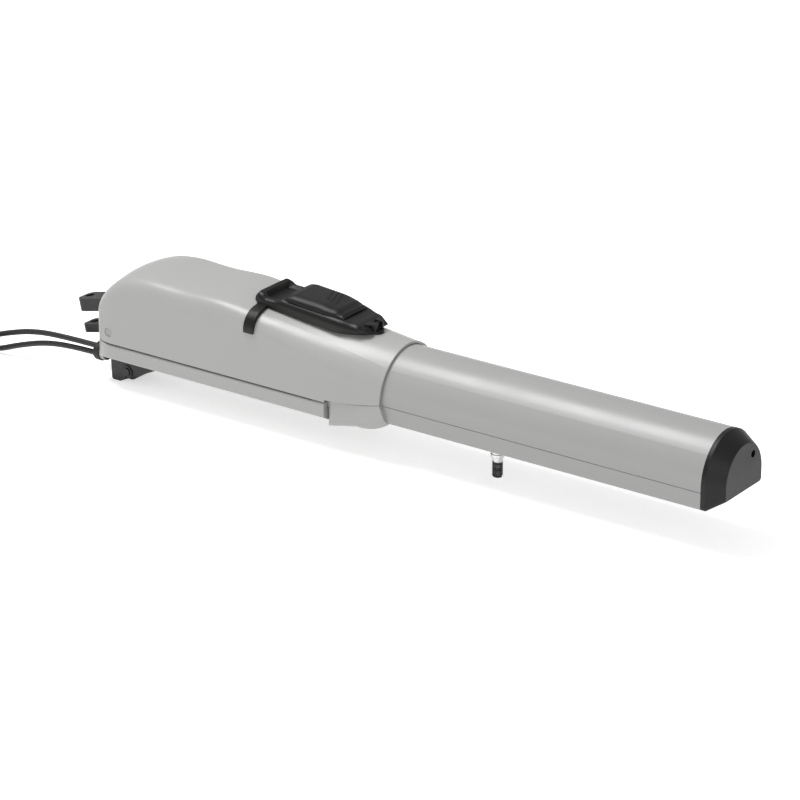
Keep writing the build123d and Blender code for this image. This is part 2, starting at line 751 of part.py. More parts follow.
# Clutch collar: its four notches take the gear's dogs, and the fork's groove runs round it
collar_start = gear_start - 0.3 - collar_length
with BuildPart() as clutch_collar:
    with BuildSketch(across(collar_start)):
        with Locations(screw_axis):
            Circle(collar_diameter / 2)
            Circle(journal_diameter / 2 + running_fit, mode=Mode.SUBTRACT)
    extrude(amount=collar_length)
    notch_depth = dog_height + 0.3
    with BuildSketch(across(gear_start - 0.3 - notch_depth)):
        with Locations(screw_axis):
            Circle(dog_outer / 2 + loose_fit)
            Circle(dog_inner / 2 - loose_fit, mode=Mode.SUBTRACT)
        for turn in (0, 90):
            with Locations(Location((0, screw_height), turn + 45)):
                Rectangle(dog_outer + 2, 11 - 2 * loose_fit, mode=Mode.SUBTRACT)
    extrude(amount=notch_depth, mode=Mode.SUBTRACT)
    groove_start = collar_start + 2
    with BuildSketch(across(groove_start)):
        with Locations(screw_axis):
            Circle(collar_diameter / 2 + 1)
            Circle(collar_diameter / 2 - 3, mode=Mode.SUBTRACT)
    extrude(amount=collar_groove, mode=Mode.SUBTRACT)
keep(clutch_collar, "clutch_collar")

# Clutch fork: straddles the collar in its groove, clears the rotor shaft and slides on a rod
rod_height = 76.0
rod_diameter = 6.0
fork_plate = collar_groove - 2 * loose_fit
link_height = arm_top + 1.2
with BuildPart() as clutch_fork:
    with BuildSketch(across(groove_start + loose_fit)) as fork_outline:
        with Locations((0, (screw_height + link_height) / 2)):
            Rectangle(42, link_height - screw_height)
        with Locations(screw_axis):
            Circle(21)
            Circle(collar_diameter / 2 - 3 + loose_fit, mode=Mode.SUBTRACT)
        with Locations((0, screw_height - 14)):
            Rectangle(2 * (collar_diameter / 2 - 3 + loose_fit), 28, mode=Mode.SUBTRACT)
        with Locations(motor_axis):
            Circle(shaft_diameter / 2 + 2, mode=Mode.SUBTRACT)
        with Locations((0, rod_height)):
            Circle(rod_diameter / 2 + running_fit, mode=Mode.SUBTRACT)
    extrude(amount=fork_plate)
keep(clutch_fork, "clutch_fork")
with BuildPart() as fork_rod:
    with BuildSketch(across(frame_start + frame_plate)):
        with Locations((0, rod_height)):
            Circle(rod_diameter / 2)
    extrude(amount=thrust_start - frame_start - frame_plate)
keep(fork_rod, "fork_rod")

# Lead screw: journal, threaded length and end journal; the thread's ridges are finish
screw_start = frame_start + 0.5
thread_start = thrust_start + bearing_width + 3.6
end_block = 12.0
end_block_start = screw_end - end_block
with BuildPart() as lead_screw:
    for start, end, diameter in ((screw_start, thread_start, journal_diameter),
                                 (thread_start, end_block_start - 0.5, screw_diameter),
                                 (end_block_start - 0.5, screw_end, journal_diameter)):
        with BuildSketch(across(start)):
            with Locations(screw_axis):
                Circle(diameter / 2)
        extrude(amount=end - start)
keep(lead_screw, "lead_screw")

# Block that carries the screw's far end inside the arm, with its bush
with BuildPart() as end_bearing_block:
    extrude(arm_section(end_block_start, -arm_wall - loose_fit, corner=1.0), amount=end_block)
    with BuildSketch(across(end_block_start)):
        with Locations(screw_axis):
            Circle(journal_diameter / 2 + 3)
        for y in (-rail_y, rail_y):
            with Locations((y, arm_inner_floor)):
                Rectangle(rail_thick + 2 * loose_fit, 2 * rail_height + 2)
        with Locations(cap_screw_low, cap_screw_high):
            Circle(cap_screw + loose_fit)
        with Locations((low_y, arm_bottom)):
            Rectangle(5, 2 * (low_z - arm_bottom))
        with Locations((high_y, arm_top)):
            Rectangle(5, 2 * (arm_top - high_z))
    extrude(amount=end_block, mode=Mode.SUBTRACT)
keep(end_bearing_block, "end_bearing_block")
keep(ring(end_block_start, screw_axis, journal_diameter + 6, journal_diameter + 2 * running_fit, end_block),
     "screw_end_bush")

# Mechanical stops at both ends of the stroke, seated between the rails
stop_places = {"closing_stop": carriage_x - carriage_back - carriage_length / 2 - loose_fit - stop_length,
               "opening_stop": carriage_x + carriage_ahead + carriage_length / 2 + loose_fit}
for stop_name, stop_start in stop_places.items():
    with BuildPart() as stop:
        with BuildSketch(across(stop_start)):
            with Locations((0, arm_inner_floor + loose_fit + 17)):
                Rectangle(rail_gap - 2 * loose_fit, 34)
            with Locations(screw_axis):
                Circle(screw_diameter / 2 + 1.5, mode=Mode.SUBTRACT)
        extrude(amount=stop_length)
        with BuildSketch(level(arm_bottom - 3)):
            with Locations((stop_start + stop_length / 2, 0)):
                Circle(4)
        extrude(amount=6.5)
        with BuildSketch(level(arm_bottom - 3)):
            with Locations((stop_start + stop_length / 2, 0)):
                RegularPolygon(8, 6)
        extrude(amount=3 - 0.3)
    keep(stop, stop_name)

# Carriage: a block between the rails on the nut, with pads below and the stud through the slot
carriage_start = carriage_x - carriage_length / 2
block_bottom = screw_height - carriage_height / 2
with BuildPart() as carriage_block:
    with BuildSketch(across(carriage_start)):
        with Locations((0, screw_height + 1)):
            Rectangle(carriage_width, carriage_height + 2)
        with Locations(screw_axis):
            Circle(nut_diameter / 2 - 2.5, mode=Mode.SUBTRACT)
    extrude(amount=carriage_length)
    with BuildSketch(across(carriage_start + (carriage_length - nut_length) / 2)):
        with Locations(screw_axis):
            Circle(nut_diameter / 2 - 1.5)
    extrude(amount=nut_length, mode=Mode.SUBTRACT)
keep(carriage_block, "carriage_block")
keep(ring(carriage_start + (carriage_length - nut_length) / 2, screw_axis, nut_diameter - 3,
          screw_diameter + 2 * running_fit, nut_length), "carriage_nut")
with BuildPart() as slide_pads:
    for x in (carriage_start + 8, carriage_start + carriage_length - 8):
        for y in (-15, 15):
            with BuildSketch(level(arm_inner_floor + loose_fit)):
                with Locations((x, y)):
                    Rectangle(12, 9)
            extrude(amount=block_bottom - arm_inner_floor - loose_fit)
keep(slide_pads, "slide_pads")
with BuildPart() as carriage_stud:
    with BuildSketch(level(block_bottom)):
        with Locations((carriage_x, 0)):
            Circle(stud_stem / 2)
    extrude(amount=-(block_bottom - arm_bottom + stud_flange_top))
    with BuildSketch(level(arm_bottom - stud_flange_top)):
        with Locations((carriage_x, 0)):
            Circle(stud_diameter / 2)
    extrude(amount=-(stud_length - stud_flange_top))
    chamfer(carriage_stud.faces().sort_by(Axis.Z)[0].edges(), 1.5)
    with BuildSketch(level(arm_bottom - stud_flange_top)):
        with Locations((carriage_x, 0)):
            Circle(stud_flange / 2)
    extrude(amount=-stud_flange_thick)
keep(carriage_stud, "carriage_stud")

# Tail fork in its own axes, drooping about its pin; the origin is the middle of its bore
fork_turn = radians(droop)
bore_half = (upper_ear + ear_gap + lower_ear) / 2
fork_forward = (cos(fork_turn), 0, sin(fork_turn))
fork_up = (-sin(fork_turn), 0, cos(fork_turn))
pin_place = (casing_x + pin_x, casing_z + pin_z)
pin_along = pin_place[0] * cos(fork_turn) + pin_place[1] * sin(fork_turn)
pin_up = pin_place[1] * cos(fork_turn) - pin_place[0] * sin(fork_turn)


def fork_level(height):
    """Plane square to the fork's bore at a height along it."""
    return Plane(origin=tuple(height * part for part in fork_up), x_dir=fork_forward, z_dir=fork_up)


def tangent_point(start, centre, radius, side):
    """Point where a line from "start" touches a circle, on the side given by +1 or -1."""
    reach = hypot(centre[0] - start[0], centre[1] - start[1])
    heading = atan2(start[1] - centre[1], start[0] - centre[0]) + side * acos(radius / reach)
    return centre[0] + radius * cos(heading), centre[1] + radius * sin(heading)


web_front = ear_reach + web_thick
knee = -49.0
shin = -32.0
eye = (pin_along, pin_up)
with BuildPart() as tail_fork:
    for start, thick in ((bore_half - upper_ear, upper_ear), (-bore_half, lower_ear)):
        with BuildSketch(fork_level(start)) as ear:
            with Locations(((web_front - ear_tip) / 2, 0)):
                Rectangle(web_front + ear_tip, fork_width)
            fillet(ear.vertices().group_by(Axis.X)[0], 9)
        extrude(amount=thick)
    with BuildSketch(Plane(origin=(0, 0, 0), x_dir=fork_forward, z_dir=(0, -1, 0))):
        with BuildLine():
            Polyline((ear_reach, bore_half), (web_front, bore_half), (web_front, knee),
                     tangent_point((web_front, knee), eye, pin_eye, -1), eye,
                     tangent_point((ear_reach, shin), eye, pin_eye, 1), (ear_reach, shin), close=True)
        make_face()
        with Locations(eye):
            Circle(pin_eye)
    extrude(amount=fork_width / 2, both=True)
    with BuildSketch(along(0)):
        with BuildLine():
            Polyline((pin_x, pin_z), (pin_x + 3, pin_z + pin_eye - 2),
                     (pin_x + 18, -base_belly - yoke_plate - loose_fit),
                     (pin_x + 18, -base_belly - yoke_plate - 6), (pin_x + 7, pin_z - pin_eye + 2.5), close=True)
        make_face()
    extrude(amount=fork_width / 2, both=True)
    with BuildSketch(fork_level(-bore_half - 1)):
        Circle(fork_bore / 2)
    extrude(amount=2 * bore_half + 2, mode=Mode.SUBTRACT)
    with BuildSketch(along(0)):
        with Locations((pin_x, pin_z)):
            Circle(pin_diameter / 2 + running_fit)
    extrude(amount=fork_width, both=True, mode=Mode.SUBTRACT)
keep(tail_fork, "tail_fork")

# Yoke under the base: two three-cornered cheeks and a cross plate, screwed up into the base
cheek_inner = fork_width / 2 + loose_fit
cheek_outer = cheek_inner + cheek_thick
cheek_bottom = -base_belly - cheek_depth + 0.6
with BuildPart() as tail_yoke:
    with BuildSketch(along(0)) as cheek:
        with BuildLine():
            Polyline((cheek_back, -base_belly), (cheek_back + 1.2, cheek_bottom),
                     (cheek_back + 13, cheek_bottom), (cheek_back + cheek_length, -base_belly), close=True)
        make_face()
        fillet(cheek.vertices().group_by(Axis.Z)[0], 3)
    extrude(amount=cheek_outer, both=True)
    with BuildSketch(along(0)):
        with Locations((cheek_back + cheek_length / 2, -base_belly - cheek_depth)):
            Rectangle(2 * cheek_length, 2 * cheek_depth)
    extrude(amount=cheek_inner, both=True, mode=Mode.SUBTRACT)
    with BuildSketch(level(-base_belly - yoke_plate)):
        with Locations((yoke_screw_x - 3.5, 0)):
            Rectangle(19, 2 * cheek_inner + 2)
    extrude(amount=yoke_plate)
    with BuildSketch(along(0)):
        with Locations((pin_x, pin_z)):
            Circle(pin_diameter / 2)
    extrude(amount=cheek_outer + 1, both=True, mode=Mode.SUBTRACT)
    with BuildSketch(level(-base_belly - yoke_plate)):
        with Locations(*yoke_holes):
            Circle(yoke_screw / 2)
    extrude(amount=yoke_plate, mode=Mode.SUBTRACT)
keep(tail_yoke, "tail_yoke")

with BuildPart() as yoke_screws:
    with BuildSketch(level(-base_belly - yoke_plate)):
        with Locations(*yoke_holes):
            Circle(yoke_screw / 2)
    extrude(amount=yoke_plate + base_wall)
    with BuildSketch(level(-base_belly - yoke_plate)):
        with Locations(*yoke_holes):
            Circle(yoke_screw * 0.83)
    extrude(amount=-yoke_screw)
keep(yoke_screws, "yoke_screws")

# Hinge pin across the cheeks, held by a retaining ring in a groove at each end
clip_thick = 1.2
groove_depth = 0.8
with BuildPart() as fork_pin:
    with BuildSketch(along(0)):
        with Locations((pin_x, pin_z)):
            Circle(pin_diameter / 2)
    extrude(amount=cheek_outer + 2 * clip_thick, both=True)
    for side in (-1, 1):
        with BuildSketch(along(side * cheek_outer)):
            with Locations((pin_x, pin_z)):
                Circle(pin_diameter / 2 + 1)
                Circle(pin_diameter / 2 - groove_depth, mode=Mode.SUBTRACT)
        extrude(amount=-side * clip_thick, mode=Mode.SUBTRACT)
keep(fork_pin, "fork_pin")
with BuildPart() as pin_clips:
    for side in (-1, 1):
        with BuildSketch(along(side * cheek_outer)):
            with Locations((pin_x, pin_z)):
                Circle(pin_diameter / 2 + 3)
                Circle(pin_diameter / 2 - groove_depth, mode=Mode.SUBTRACT)
            with Locations((pin_x, pin_z - pin_diameter / 2)):
                Rectangle(3, pin_diameter, mode=Mode.SUBTRACT)
        extrude(amount=-side * clip_thick)
keep(pin_clips, "pin_clips")

# Terminal block in the tail
with BuildPart() as terminal_block:
    with BuildSketch(level(base_wall - base_belly)):
        with Locations((yoke_screw_x, 0)):
            Rectangle(26, 40)
    extrude(amount=14)
    with BuildSketch(level(base_wall - base_belly + 14)):
        with GridLocations(0, 6.4, 1, 6):
            with Locations((yoke_screw_x, 0)):
                Rectangle(12, 5)
    extrude(amount=5)
keep(terminal_block, "terminal_block")


def canoe(plane, inset):
    """Outline of the release: square at the back, straight sides, and a long taper to a rounded nose."""
    half = hatch_width / 2 - inset
    corner = 8.0
    bend, taper_end, nose_half = hatch_length - 54, hatch_length - 6 - inset, 8.0
    middle = (bend + (taper_end - bend) * 0.56, nose_half + (half - nose_half) * 0.66)
    with BuildSketch(plane) as outline:
        with BuildLine():
            Line((inset, corner - half), (inset, half - corner))
            RadiusArc((inset, half - corner), (inset + corner, half), corner)
            Line((inset + corner, half), (bend, half))
            ThreePointArc((bend, half), middle, (taper_end, nose_half))
            ThreePointArc((taper_end, nose_half), (hatch_length - inset, 0), (taper_end, -nose_half))
            ThreePointArc((taper_end, -nose_half), (middle[0], -middle[1]), (bend, -half))
            Line((bend, -half), (inset + corner, -half))
            RadiusArc((inset + corner, -half), (inset, corner - half), corner)
        make_face()
    return outline.sketch


# Frame of the release: a ring on the cover with a drain well, hinge cheeks and a drain band each side
band_x = hatch_x + 7.0
well_wall = 1.7
skirt_depth = 4.0
nose_half_width = 4.5
cheek_half, cheek_rise = 5.5, 8.0
cheek_reach = hypot(cheek_half, frame_height + cheek_rise - pivot_n)
with BuildPart() as hatch_frame:
    extrude(canoe(on_hatch(-skirt_depth), 0), amount=skirt_depth + frame_height)
    band_top = cover_top - 0.8 - hood_fall * (band_x - hood_start)
    extrude(cover_section(band_x, band_top, -band_thick, band_low), amount=band_width)
    add(cover_outside.part, mode=Mode.SUBTRACT)
    with BuildSketch(on_hatch(-skirt_depth)):
        with Locations(((opening_back + opening_front) / 2, 0)):
            RectangleRounded(opening_front - opening_back - 2 * loose_fit, opening_width - 2 * loose_fit, 7.7)
    extrude(amount=skirt_depth + frame_height)
    with BuildSketch(on_hatch(-skirt_depth - 1)):
        with Locations(((opening_back + opening_front) / 2, 0)):
            RectangleRounded(opening_front - opening_back - 2 * well_wall - 2 * loose_fit,
                             opening_width - 2 * well_wall - 2 * loose_fit, 6)
        with Locations(((lug_slot_back + lug_slot_front) / 2, 0)):
            Rectangle(lug_slot_front - lug_slot_back, lug_slot)
    extrude(amount=skirt_depth + frame_height + 2, mode=Mode.SUBTRACT)
    with BuildSketch(on_hatch(frame_height)):
        add(canoe(Plane.XY, 1.0))
        with Locations((pivot_h, 0)):
            Rectangle(2 * cheek_half, hatch_width, mode=Mode.INTERSECT)
            Rectangle(2 * cheek_half, 2 * nose_half_width + 2 * loose_fit, mode=Mode.SUBTRACT)
    extrude(amount=cheek_rise)
    with BuildSketch(beside_hatch()):
        with Locations((pivot_h, pivot_n)):
            Circle(lever_pin_diameter / 2)
    extrude(amount=hatch_width, both=True, mode=Mode.SUBTRACT)
keep(hatch_frame, "hatch_frame")

# Release lever: a hollow-backed grip that rises from the tail side on a hinge at its nose
lever_bottom = frame_height + loose_fit
lever_flat = 12.0
peak = (18.0, 15.0)
flat_start, flat_end = 34.0, pivot_h - 32
nose_radius = pivot_n - lever_bottom
lug_length = 13.6
lug_thick = 3.0
lever_inset = 2.5
lock_h = 46.0
with BuildPart() as release_lever:
    with BuildSketch(beside_hatch()):
        with BuildLine():
            back_low, back_high = (lever_inset, lever_bottom), (lever_inset, lever_bottom + 3.7)
            nose_top, nose_low = (pivot_h, pivot_n + nose_radius), (pivot_h, lever_bottom)
            Line(back_low, back_high)
            ThreePointArc(back_high, (lever_inset + 5.5, 12.3), peak)
            ThreePointArc(peak, (26, 12.8), (flat_start, lever_flat))
            Line((flat_start, lever_flat), (flat_end, lever_flat))
            Line((flat_end, lever_flat), nose_top)
            ThreePointArc(nose_top, (pivot_h + nose_radius, pivot_n), nose_low)
            Line(nose_low, back_low)
        make_face()
    extrude(amount=hatch_width / 2, both=True)
    extrude(canoe(on_hatch(lever_bottom), lever_inset), amount=20, mode=Mode.INTERSECT)
    with BuildSketch(on_hatch(lever_bottom)):
        for side in (-1, 1):
            with Locations((pivot_h - cheek_reach - 2 * loose_fit + 15, side * (nose_half_width + 15))):
                Rectangle(30, 30)
    extrude(amount=20, mode=Mode.SUBTRACT)
    with BuildSketch(beside_hatch()):
        with Locations((pivot_h, pivot_n - lug_length / 2)):
            Rectangle(lug_thick, lug_length)
    extrude(amount=lug_slot / 2 - 1, both=True)
    with BuildSketch(beside_hatch()) as finger_pocket:
        with BuildLine():
            Polyline((-1, lever_bottom - 1), (-1, lever_bottom + 4.5), (10, lever_bottom + 7),
                     (24, lever_bottom - 1), close=True)
        make_face()
    extrude(amount=hatch_width / 2 - 10, both=True, mode=Mode.SUBTRACT)
    with BuildSketch(on_hatch(lever_bottom - 1)):
        with Locations((lock_h, 0)):
            Circle(lock_diameter / 2 + running_fit)
    extrude(amount=20, mode=Mode.SUBTRACT)
    with BuildSketch(beside_hatch()):
        with Locations((pivot_h, pivot_n)):
            Circle(lever_pin_diameter / 2 + running_fit)
    extrude(amount=hatch_width, both=True, mode=Mode.SUBTRACT)
keep(release_lever, "release_lever")

with BuildPart() as lever_pin:
    with BuildSketch(beside_hatch()):
        with Locations((pivot_h, pivot_n)):
            Circle(lever_pin_diameter / 2)
    extrude(amount=9, both=True)
keep(lever_pin, "lever_pin")

# Lock in the lever, and the ribbed slide that covers it
with BuildPart() as lock_cylinder:
    with BuildSketch(on_hatch(lever_flat - loose_fit - lock_length)):
        with Locations((lock_h, 0)):
            Circle(lock_diameter / 2)
    extrude(amount=lock_length)
    with BuildSketch(on_hatch(lever_flat - loose_fit - 4)):
        with Locations((lock_h, 0)):
            Rectangle(8, 1.6)
    extrude(amount=5, mode=Mode.SUBTRACT)
keep(lock_cylinder, "lock_cylinder")
cover_h = lock_h + 7
with BuildPart() as key_cover:
    with BuildSketch(on_hatch(lever_flat + loose_fit)):
        with Locations((cover_h, 0)):
            RectangleRounded(key_cover_length, key_cover_width, 4)
    extrude(amount=key_cover_thick)
    fillet(key_cover.faces().sort_by(Axis.Z)[-1].outer_wire().edges(), 1)
    with BuildSketch(on_hatch(lever_flat + loose_fit + key_cover_thick - 1.2)):
        for step in range(3):
            with Locations(Location((cover_h + 4 + 4 * step, 0), 14)):
                Rectangle(1.6, key_cover_width - 8)
    extrude(amount=3, mode=Mode.SUBTRACT)
keep(key_cover, "key_cover")

# Link from the lever's lug back to the clutch fork; the lug works in its window
tilt = radians(hatch_slope)
lug_x = hatch_x + pivot_h * cos(tilt) + pivot_n * sin(tilt)
link_start = groove_start + loose_fit
link_thick = 1.6
with BuildPart() as release_link:
    with BuildSketch(level(link_height)):
        with Locations(((link_start + lug_x + 6) / 2, 0)):
            Rectangle(lug_x + 6 - link_start, 12)
        with Locations((lug_x - 2.4, 0)):
            Rectangle(8.8, lug_slot - 1, mode=Mode.SUBTRACT)
    extrude(amount=link_thick)
keep(release_link, "release_link")

# Gland at the tail's near corner, with both leads leaving it towards the pillar
gland_face = 1.5 - gland_length
with BuildPart() as cable_gland:
    with BuildSketch(across(gland_face)):
        with Locations((gland_y, gland_z)):
            Circle(gland_diameter / 2)
    extrude(amount=gland_length)
    fillet(cable_gland.faces().sort_by(Axis.X)[0].edges(), 2.5)
    with BuildSketch(across(1.5)):
        with Locations((gland_y, gland_z)):
            Circle(gland_thread / 2 - 0.1)
    extrude(amount=8)
keep(cable_gland, "cable_gland")

# Leads: each runs back from the gland, sinks to the bench and ends in a tied coil
lead_spread = 4.6
bench = cheek_bottom
coil_middle = 36.0
coil_lift = 1.0
coil_wide = 2 * lead_diameter
upper_coil = (-285.0, 15.0)
lower_coil = (-190.0, -78.0)
lead_floor = bench + coil_lift + lead_diameter / 2
lead_circle = coil_middle + lead_diameter / 2
upper_route = [(gland_face, gland_y, gland_z + lead_spread), (-45, -29, -1.4), (-100, -28.3, -4.5),
               (-150, -26, -19), (-196, -24.6, lead_floor), (upper_coil[0] + 8, upper_coil[1] - lead_circle,
                                                            lead_floor)]
lower_route = [(gland_face, gland_y, gland_z - lead_spread), (-42, -29, -10.6), (-84, -30, -14.5),
               (-122, -34, -25), (-155, -37.8, lead_floor), (lower_coil[0] + 8, lower_coil[1] + lead_circle,
                                                            lead_floor)]


def lead(route, name):
    """Plain tube of straight runs with an arc at each corner."""
    points = [Vector(casing_x + x, y, casing_z + z) for x, y, z in route]
    with BuildPart() as tube:
        with BuildLine():
            last = points[0]
            for before, corner, after in zip(points, points[1:], points[2:]):
                arrive, leave = (corner - before).normalized(), (after - corner).normalized()
                turn = radians(arrive.get_angle(leave))
                reach = 0.45 * min((corner - before).length, (after - corner).length)
                radius = reach / tan(turn / 2)
                apex = corner + (leave - arrive).normalized() * (radius * (1 / cos(turn / 2) - 1))
                Line(last, corner - arrive * reach)
                ThreePointArc(corner - arrive * reach, apex, corner + leave * reach)
                last = corner + leave * reach
            Line(last, points[-1])
        heading = (points[1] - points[0]).normalized()
        with BuildSketch(Plane(origin=points[0], z_dir=heading)):
            Circle(lead_diameter / 2)
        sweep()
    keep(tube, name)
    print(name, [tuple(round(v, 1) for v in point) for point in points])


lead(upper_route, "cable_upper")
lead(lower_route, "cable_lower")
for name, (coil_x, coil_y) in (("coil_upper", upper_coil), ("coil_lower", lower_coil)):
    with BuildPart() as coil:
        with BuildSketch(level(bench + coil_lift)):
            with Locations((coil_x, coil_y)):
                Circle(coil_middle + lead_diameter)
                Circle(coil_middle - lead_diameter, mode=Mode.SUBTRACT)
        extrude(amount=coil_wide)
        fillet(coil.edges(), 2.5)
    keep(coil, name)
with BuildPart() as coil_ties:
    for coil_x, coil_y in (upper_coil, lower_coil):
        with BuildSketch(along(coil_y)):
            with Locations((coil_x - coil_middle, bench + coil_lift + coil_wide / 2)):
                RectangleRounded(coil_wide + 2 * coil_lift, coil_wide + 2 * coil_lift, 2.5)
                Rectangle(coil_wide + 0.2, coil_wide + 0.2, mode=Mode.SUBTRACT)
        extrude(amount=2, both=True)
keep(coil_ties, "coil_ties")
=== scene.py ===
# %% [markdown]
# # A swing gate operator in a small photo studio
# The part comes in as a fixed frame: every node already lies where it belongs, in metres. This lesson
# adds the camera, the light, the finishes and the fine detail. Nothing that was packed is moved.

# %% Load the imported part
import json
import math

import bpy
from mathutils import Matrix, Vector


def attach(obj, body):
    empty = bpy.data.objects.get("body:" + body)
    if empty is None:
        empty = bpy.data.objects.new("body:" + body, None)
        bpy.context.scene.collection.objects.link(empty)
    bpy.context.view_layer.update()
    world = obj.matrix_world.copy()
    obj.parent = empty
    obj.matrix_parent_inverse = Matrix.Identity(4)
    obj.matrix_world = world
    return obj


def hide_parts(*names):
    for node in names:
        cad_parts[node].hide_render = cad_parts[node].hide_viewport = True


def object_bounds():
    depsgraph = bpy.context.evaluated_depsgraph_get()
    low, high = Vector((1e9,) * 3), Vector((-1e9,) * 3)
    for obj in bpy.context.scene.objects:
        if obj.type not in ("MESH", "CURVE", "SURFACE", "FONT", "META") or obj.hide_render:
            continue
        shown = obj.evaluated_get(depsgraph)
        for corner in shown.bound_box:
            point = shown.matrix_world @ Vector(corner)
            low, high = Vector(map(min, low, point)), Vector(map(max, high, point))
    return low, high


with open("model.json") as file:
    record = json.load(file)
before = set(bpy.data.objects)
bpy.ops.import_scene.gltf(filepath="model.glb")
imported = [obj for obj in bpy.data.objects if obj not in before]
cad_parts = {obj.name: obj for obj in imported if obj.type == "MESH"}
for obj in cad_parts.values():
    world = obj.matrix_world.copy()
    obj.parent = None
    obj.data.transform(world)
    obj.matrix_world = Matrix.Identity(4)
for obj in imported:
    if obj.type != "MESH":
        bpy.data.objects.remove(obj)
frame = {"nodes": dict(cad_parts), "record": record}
cad_low, cad_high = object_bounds()
scene = bpy.context.scene
scene.view_settings.view_transform = "Standard"
slot_of = {entry["node"]: entry["material_slot"] for entry in frame["record"]["subparts"]}
mm = 0.001

# %% [markdown]
# ## Camera
# The photograph was taken with a long lens: the arm hardly gets thinner as it comes forward. A short
# lens from close by would bend the long tube towards us. So the camera stands 4 m away, looks down by
# 22 degrees and uses a narrow angle.

# %% Camera
view_turn, view_height = math.radians(35.5), math.radians(22.4)
view_distance = 4.023
aim = Vector((0.430, 0.0, -0.006))
away = Vector((math.sin(view_turn) * math.cos(view_height), -math.cos(view_turn) * math.cos(view_height),
               math.sin(view_height)))
camera = bpy.data.objects.new("camera", bpy.data.cameras.new("camera"))
scene.collection.objects.link(camera)
camera.location = aim + away * view_distance
camera.rotation_euler = away.to_track_quat("Z", "Y").to_euler()
camera.data.sensor_width = 36.0
camera.data.lens = 167.4
camera.data.clip_end = 60.0
scene.camera = camera
print("camera at", tuple(round(v, 3) for v in camera.location))

# %% [markdown]
# ## Leads
# Two round leads leave the gland at the tail. Only their first 15 cm are in the picture, nearly straight.
# The rest of each metre sinks to the bench and is put away in a small coil, just out of the picture.
# A lead is one smooth NURBS line: chosen points along the way, then computed turns.

# %% The two leads
lead_diameter = 0.0066
bench = cad_low.z
coil_outer, coil_inner = 0.0396, 0.0328
layer_low = bench + 0.001 + lead_diameter / 2
layer_high = layer_low + lead_diameter + 0.05 * mm
points_a_turn = 16


def coil_points(centre, start, way, turns):
    """Turns of a coil: an outer and an inner one on the bench, then back on top of them."""
    keys = [(0.0, coil_outer, layer_low), (0.84, coil_outer, layer_low), (1.0, coil_inner, layer_low),
            (1.84, coil_inner, layer_low), (2.0, coil_inner, layer_high), (2.84, coil_inner, layer_high),
            (3.0, coil_outer, layer_high), (9.0, coil_outer, layer_high)]
    grow = 2 / (1 + math.cos(math.pi / points_a_turn))
    found = []
    for step in range(1, round(turns * points_a_turn) + 1):
        done = step / points_a_turn
        before = [key for key in keys if key[0] <= done][-1]
        after = [key for key in keys if key[0] > done][0]
        share = (done - before[0]) / (after[0] - before[0])
        radius = (before[1] + (after[1] - before[1]) * share) * grow
        height = before[2] + (after[2] - before[2]) * share
        angle = math.radians(start) + way * 2 * math.pi * done
        found.append((centre[0] + radius * math.cos(angle), centre[1] + radius * math.sin(angle), height))
    return found


upper_route = [(0.0295, -0.029, -0.0254), (-0.008, -0.029, -0.0254), (-0.063, -0.0283, -0.0285),
               (-0.113, -0.026, -0.043), (-0.159, -0.0246, layer_low), (-0.236, -0.0243, layer_low)]
lower_route = [(0.0295, -0.029, -0.0346), (-0.005, -0.029, -0.0346), (-0.047, -0.030, -0.0385),
               (-0.085, -0.034, -0.049), (-0.118, -0.0378, layer_low), (-0.141, -0.0384, layer_low)]
upper_centre, lower_centre = (-0.248, 0.015), (-0.153, -0.078)
upper_turns, lower_turns = 3.4, 3.6


def lead_curve(name, points):
    """One open NURBS line with a round section."""
    curve = bpy.data.curves.new(name, "CURVE")
    curve.dimensions = "3D"
    spline = curve.splines.new("NURBS")
    spline.points.add(len(points) - 1)
    for place, point in zip(spline.points, points):
        place.co = (*point, 1.0)
    spline.order_u = 3
    spline.use_endpoint_u = True
    curve.resolution_u = 8
    curve.bevel_depth = lead_diameter / 2
    curve.bevel_resolution = 5
    curve.use_fill_caps = True
    made = bpy.data.objects.new(name, curve)
    scene.collection.objects.link(made)
    return made


def line_length(points):
    """Length of the smooth line, read from a bare copy of the curve."""
    bare = lead_curve("measure", points)
    bare.data.bevel_depth = 0.0
    mesh = bpy.data.meshes.new_from_object(bare)
    places = [vertex.co.copy() for vertex in mesh.vertices]
    bpy.data.objects.remove(bare)
    return sum((b - a).length for a, b in zip(places, places[1:]))


upper_points = upper_route + coil_points(upper_centre, -90, -1, upper_turns)
lower_points = lower_route + coil_points(lower_centre, 90, 1, lower_turns)
upper_lead = lead_curve("upper_lead", upper_points)
lower_lead = lead_curve("lower_lead", lower_points)
upper_length, lower_length = line_length(upper_points), line_length(lower_points)
print("lead lengths", round(upper_length, 3), round(lower_length, 3))

# %% [markdown]
# ## Finishes
# Most surfaces here differ in one way only: how coarse their grain is and how much the tone wanders.
# One shared node group makes both, and each material puts its own numbers into it.

